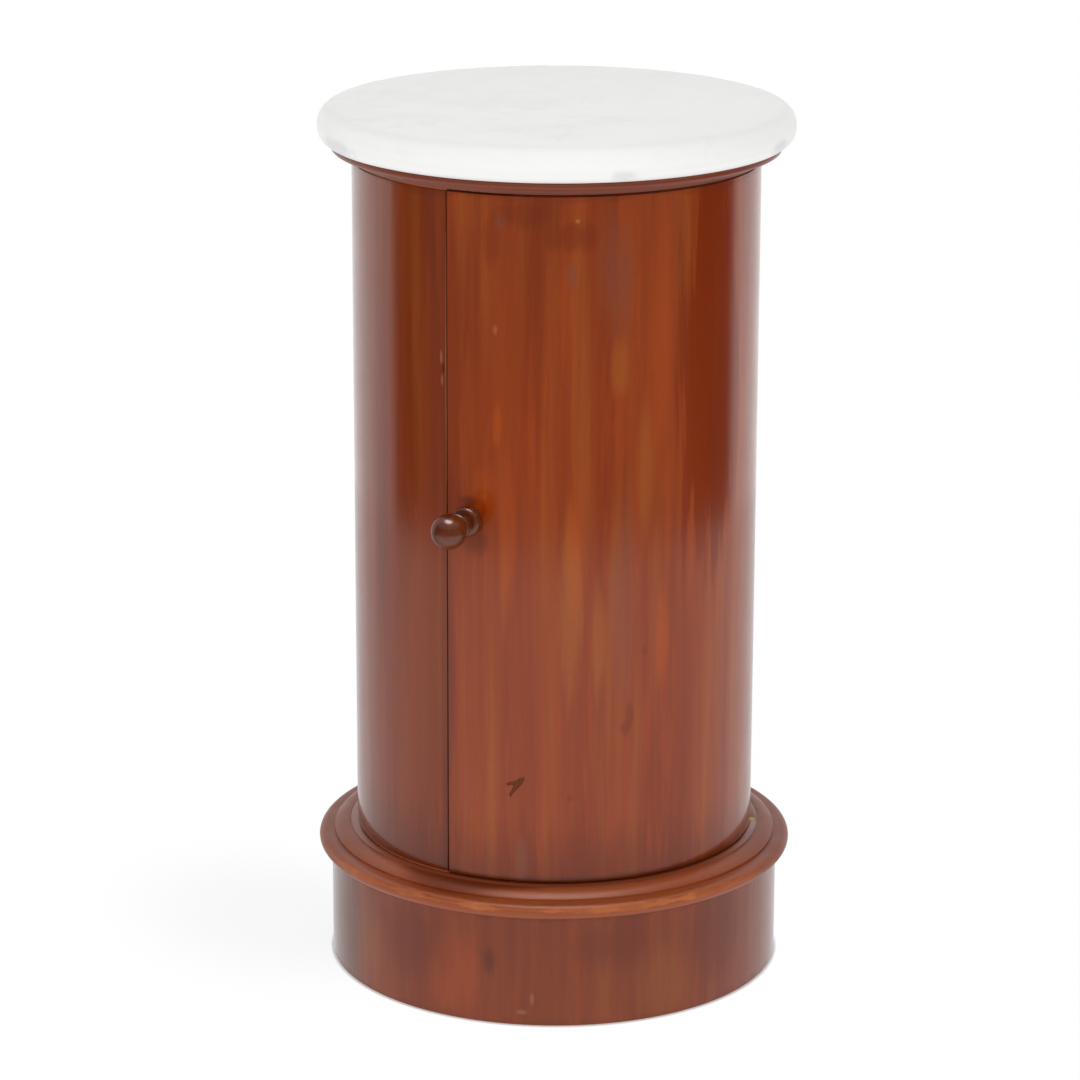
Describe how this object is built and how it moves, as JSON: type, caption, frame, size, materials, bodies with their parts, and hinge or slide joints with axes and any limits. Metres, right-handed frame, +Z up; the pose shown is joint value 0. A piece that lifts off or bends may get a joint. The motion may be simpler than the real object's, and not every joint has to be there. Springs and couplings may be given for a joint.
{
  "type": "bedside pot cupboard",
  "caption": "Round coopered mahogany bedside pot cupboard on a moulded plinth, with a loose marble top, a fixed shelf and a curved door on pivots, closed by a turning knob catch.",
  "frame": {"origin": "centre of the foot on the floor", "axes": "+Z up along the case, -Y out of the middle of the door, +X to the right seen from the front"},
  "size_m": [0.406, 0.406, 0.741],
  "materials": {
    "mahogany_veneer": "french polished, glossy",
    "mahogany": "french polished, worn at the nose",
    "dark_mahogany": "turned and polished",
    "pine": "planed, bare, darkened with age",
    "marble": "honed white marble with grey clouds, opaque",
    "brass": "aged",
    "iron": "dark, unpolished"
  },
  "bodies": {
    "carcass": {"marble_top": "marble", "top_board": "mahogany", "top_glue_blocks": "pine", "stave_01": "pine", "stave_02": "pine", "stave_03": "pine", "stave_04": "pine", "stave_05": "pine", "stave_06": "pine", "stave_07": "pine", "stave_08": "pine", "stave_09": "pine", "stave_10": "pine", "stave_11": "pine", "stave_12": "pine", "carcass_veneer": "mahogany_veneer", "shelf": "pine", "shelf_bearers": "pine", "closing_lath": "mahogany", "keeper_plate": "brass", "base_board": "mahogany", "moulding_segment_1": "mahogany", "moulding_segment_2": "mahogany", "moulding_segment_3": "mahogany", "moulding_segment_4": "mahogany", "moulding_segment_5": "mahogany", "moulding_segment_6": "mahogany", "plinth_block_1": "pine", "plinth_block_2": "pine", "plinth_block_3": "pine", "plinth_block_4": "pine", "plinth_block_5": "pine", "plinth_block_6": "pine", "plinth_block_7": "pine", "plinth_block_8": "pine", "plinth_veneer": "mahogany_veneer", "plinth_glue_blocks": "pine", "foot_pivot_plate": "brass", "head_pivot_plate": "brass", "foot_pivot_pin": "iron", "head_pivot_pin": "iron", "pivot_washer": "brass", "carcass_screws": "iron"},
    "door": {"door_stave_1": "pine", "door_stave_2": "pine", "door_stave_3": "pine", "door_stave_4": "pine", "door_stave_5": "pine", "door_stave_6": "pine", "door_veneer": "mahogany_veneer", "door_foot_plate": "brass", "door_head_plate": "brass", "latch_plate": "brass", "door_screws": "iron"},
    "catch": {"knob": "dark_mahogany", "knob_spindle": "iron", "spindle_spacer": "brass", "catch_tongue": "brass", "spindle_nut": "iron"}
  },
  "joints": [
    {"name": "door_hinge", "type": "hinge", "parent": "carcass", "child": "door", "pos_m": [0.13861, -0.08765, 0.408], "axis": [0, 0, 1], "range_deg": [0, 92]},
    {"name": "catch_turn", "type": "hinge", "parent": "door", "child": "catch", "pos_m": [-0.11964, -0.09048, 0.427], "axis": [-0.7976, -0.6032, 0], "range_deg": [0, 90]}
  ]
}
